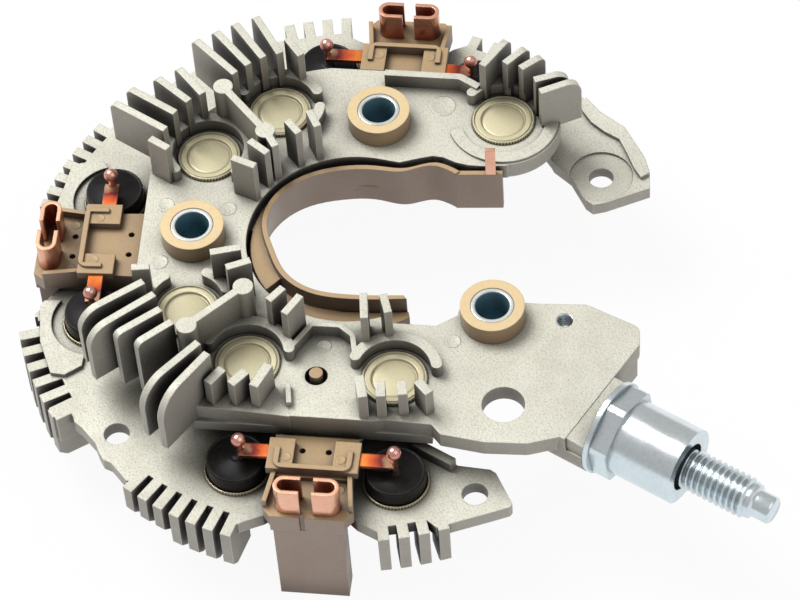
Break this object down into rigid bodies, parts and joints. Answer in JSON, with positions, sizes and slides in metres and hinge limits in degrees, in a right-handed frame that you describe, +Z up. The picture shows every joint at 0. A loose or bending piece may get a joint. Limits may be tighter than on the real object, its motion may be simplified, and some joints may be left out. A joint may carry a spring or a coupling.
{
  "type": "alternator rectifier",
  "caption": "Alternator rectifier with two stacked cast heat sinks, press-fit diodes, a moulded terminal carrier and a threaded output stud.",
  "frame": {"origin": "on the axis of the alternator shaft, at the underside of the lower heat sink", "axes": "+Z up along the shaft axis, towards the finned upper heat sink; +X towards the open side of the C"},
  "size_m": [0.1419, 0.1391, 0.0421],
  "materials": {
    "cast": "as-cast, fine speckle",
    "moulding": "moulded, semi-gloss",
    "copper": "bright copper",
    "zinc": "zinc plated",
    "cup": "pressed, satin",
    "resin": "cast resin, glossy",
    "lead": "tinned copper",
    "bush": "moulded, semi-gloss",
    "sleeve": "turned steel"
  },
  "bodies": {
    "root": {"insulating_bush_1": "bush", "insulating_bush_2": "bush", "insulating_bush_3": "bush", "mounting_sleeve_1": "sleeve", "mounting_sleeve_2": "sleeve", "mounting_sleeve_3": "sleeve", "negative_diode_a_cup": "cup", "negative_diode_a_lead": "lead", "negative_diode_a_resin": "resin", "negative_diode_b_cup": "cup", "negative_diode_b_lead": "lead", "negative_diode_b_resin": "resin", "negative_diode_c_cup": "cup", "negative_diode_c_lead": "lead", "negative_diode_c_resin": "resin", "negative_diode_d_cup": "cup", "negative_diode_d_lead": "lead", "negative_diode_d_resin": "resin", "negative_diode_e_cup": "cup", "negative_diode_e_lead": "lead", "negative_diode_e_resin": "resin", "negative_diode_f_cup": "cup", "negative_diode_f_lead": "lead", "negative_diode_f_resin": "resin", "negative_heat_sink": "cast", "output_stud": "zinc", "phase_terminal_a": "copper", "phase_terminal_b": "copper", "phase_terminal_c": "copper", "phase_terminal_d": "copper", "phase_terminal_e": "copper", "phase_terminal_f": "copper", "positive_diode_a_cup": "cup", "positive_diode_a_lead": "lead", "positive_diode_a_resin": "resin", "positive_diode_b_cup": "cup", "positive_diode_b_lead": "lead", "positive_diode_b_resin": "resin", "positive_diode_c_cup": "cup", "positive_diode_c_lead": "lead", "positive_diode_c_resin": "resin", "positive_diode_d_cup": "cup", "positive_diode_d_lead": "lead", "positive_diode_d_resin": "resin", "positive_diode_e_cup": "cup", "positive_diode_e_lead": "lead", "positive_diode_e_resin": "resin", "positive_diode_f_cup": "cup", "positive_diode_f_lead": "lead", "positive_diode_f_resin": "resin", "positive_heat_sink": "cast", "sense_tab": "copper", "stud_sleeve": "zinc", "stud_washer": "zinc", "terminal_carrier": "moulding"}
  },
  "joints": []
}
